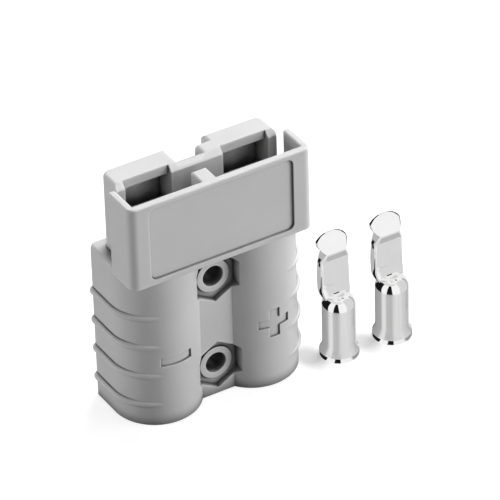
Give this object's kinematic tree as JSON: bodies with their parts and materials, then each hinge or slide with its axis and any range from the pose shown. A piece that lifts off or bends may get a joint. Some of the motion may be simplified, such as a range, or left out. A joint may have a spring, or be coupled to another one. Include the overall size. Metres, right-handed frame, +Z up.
{
  "type": "genderless power connector",
  "caption": "Flat moulded two-pole connector housing with a shrouded mating end, side grip ribs and web screw holes, with its crimp contacts standing loose beside it.",
  "frame": {"origin": "middle of the housing's wire end, on the mating plane between the two poles", "axes": "+X across the poles towards the positive one, +Y from the shrouded front to the back, +Z up from the wire end to the mating end"},
  "size_m": [0.059, 0.0182, 0.0486],
  "materials": {
    "housing_plastic": "satin neutral grey moulded polycarbonate",
    "spring_steel": "plain rolled stainless strip",
    "contact_plating": "silver plate on copper, satin on the barrel and bright on dome and lip"
  },
  "bodies": {
    "root": {"housing": "housing_plastic", "spring_minus": "spring_steel", "spring_plus": "spring_steel", "contact_minus": "contact_plating", "contact_plus": "contact_plating"}
  },
  "joints": []
}
